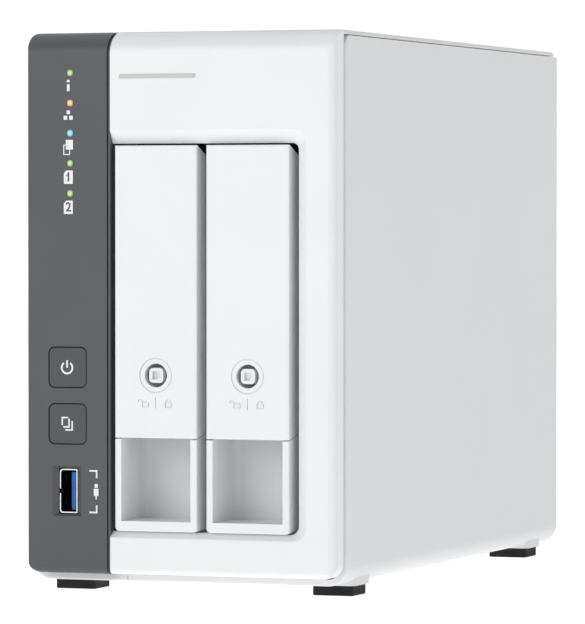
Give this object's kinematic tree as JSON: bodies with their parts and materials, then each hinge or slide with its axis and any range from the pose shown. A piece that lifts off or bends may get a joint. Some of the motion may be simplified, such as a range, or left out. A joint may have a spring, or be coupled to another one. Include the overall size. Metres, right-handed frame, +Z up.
{
  "type": "network attached storage",
  "caption": "Upright desktop network storage unit with hot-swap drive trays behind swinging levers, a dark control strip with lights, buttons and a USB port, a rear fan and rubber feet.",
  "frame": {"origin": "bottom centre of the unit, on the surface that its feet stand on", "axes": "+X to the right seen from the front, +Y from the front towards the ports, +Z up"},
  "size_m": [0.1, 0.221, 0.168],
  "materials": {
    "white_shell": "fine matte",
    "white_front": "satin",
    "white_top": "fine matte",
    "grey_panel": "fine matte",
    "button_grey": "satin",
    "dark_cup": "matte",
    "steel_sheet": "zinc plated",
    "dark_steel": "black, matte",
    "bright_steel": "bright plated",
    "blue_plastic": "satin",
    "black_plastic": "matte",
    "circuit_green": "solder mask",
    "chip_black": "moulded",
    "heatsink_metal": "extruded",
    "cast_metal": "cast",
    "rubber_black": "matte",
    "lens_green": "lit",
    "lens_orange": "lit",
    "lens_blue": "lit",
    "bronze": "sintered"
  },
  "bodies": {
    "chassis": {"front_bezel": "white_front", "control_panel": "grey_panel", "top_cover": "white_top", "left_cover": "white_shell", "right_cover": "white_shell", "rear_panel": "dark_steel", "port_panel": "dark_steel", "drive_cage": "steel_sheet", "lower_guide": "black_plastic", "upper_guide": "black_plastic", "main_board": "circuit_green", "processor_heatsink": "heatsink_metal", "circuit_chips": "chip_black", "clock_battery": "bright_steel", "backplane_board": "circuit_green", "backplane_sockets": "black_plastic", "front_usb_shell": "bright_steel", "rear_usb_shells": "bright_steel", "front_usb_tongue": "blue_plastic", "rear_usb_tongues": "blue_plastic", "network_sockets": "bright_steel", "power_socket": "black_plastic", "button_switches": "black_plastic", "green_lenses": "lens_green", "orange_lens": "lens_orange", "blue_lens": "lens_blue", "indicator_leds": "white_front", "fan_frame": "black_plastic", "fan_bearing": "bronze", "rubber_feet": "rubber_black", "cover_screws": "bright_steel", "fan_screws": "bright_steel", "cage_screws": "bright_steel", "board_screws": "bright_steel"},
    "tray_1": {"tray_1_front": "white_front", "tray_1_hinge_pin": "bright_steel", "tray_1_carrier": "black_plastic", "tray_1_clips": "white_front", "drive_1_base": "cast_metal", "drive_1_lid": "steel_sheet", "drive_1_board": "circuit_green", "drive_1_plug": "black_plastic"},
    "lever_1": {"tray_1_lever": "white_front", "tray_1_lock_cup": "dark_cup"},
    "lock_1": {"tray_1_lock": "white_front"},
    "tray_2": {"tray_2_front": "white_front", "tray_2_hinge_pin": "bright_steel", "tray_2_carrier": "black_plastic", "tray_2_clips": "white_front", "drive_2_base": "cast_metal", "drive_2_lid": "steel_sheet", "drive_2_board": "circuit_green", "drive_2_plug": "black_plastic"},
    "lever_2": {"tray_2_lever": "white_front", "tray_2_lock_cup": "dark_cup"},
    "lock_2": {"tray_2_lock": "white_front"},
    "power_button": {"power_button": "button_grey"},
    "copy_button": {"copy_button": "button_grey"},
    "reset_button": {"reset_button": "black_plastic"},
    "fan": {"fan_rotor": "black_plastic"}
  },
  "joints": [
    {"name": "tray_1_slide", "type": "slide", "parent": "chassis", "child": "tray_1", "axis": [0, -1, 0], "range_m": [0, 0.16]},
    {"name": "lever_1_hinge", "type": "hinge", "parent": "tray_1", "child": "lever_1", "pos_m": [-0.0074, -0.1077, 0.1201], "axis": [-1, 0, 0], "range_deg": [0, 60]},
    {"name": "lock_1_turn", "type": "hinge", "parent": "lever_1", "child": "lock_1", "pos_m": [-0.0074, -0.1035, 0.0657], "axis": [0, 1, 0], "range_deg": [0, 90]},
    {"name": "tray_2_slide", "type": "slide", "parent": "chassis", "child": "tray_2", "axis": [0, -1, 0], "range_m": [0, 0.16]},
    {"name": "lever_2_hinge", "type": "hinge", "parent": "tray_2", "child": "lever_2", "pos_m": [0.0217, -0.1077, 0.1201], "axis": [-1, 0, 0], "range_deg": [0, 60]},
    {"name": "lock_2_turn", "type": "hinge", "parent": "lever_2", "child": "lock_2", "pos_m": [0.0217, -0.1035, 0.0657], "axis": [0, 1, 0], "range_deg": [0, 90]},
    {"name": "power_button_press", "type": "slide", "parent": "chassis", "child": "power_button", "axis": [0, 1, 0], "range_m": [0, 0.001], "stiffness_N_per_m": 400, "springref_m": -0.0004},
    {"name": "copy_button_press", "type": "slide", "parent": "chassis", "child": "copy_button", "axis": [0, 1, 0], "range_m": [0, 0.001], "stiffness_N_per_m": 400, "springref_m": -0.0004},
    {"name": "reset_button_press", "type": "slide", "parent": "chassis", "child": "reset_button", "axis": [0, -1, 0], "range_m": [0, 0.0006], "stiffness_N_per_m": 400, "springref_m": -0.0004},
    {"name": "fan_spin", "type": "hinge", "parent": "chassis", "child": "fan", "pos_m": [0.011, 0.095, 0.1], "axis": [0, 1, 0], "continuous": true}
  ]
}
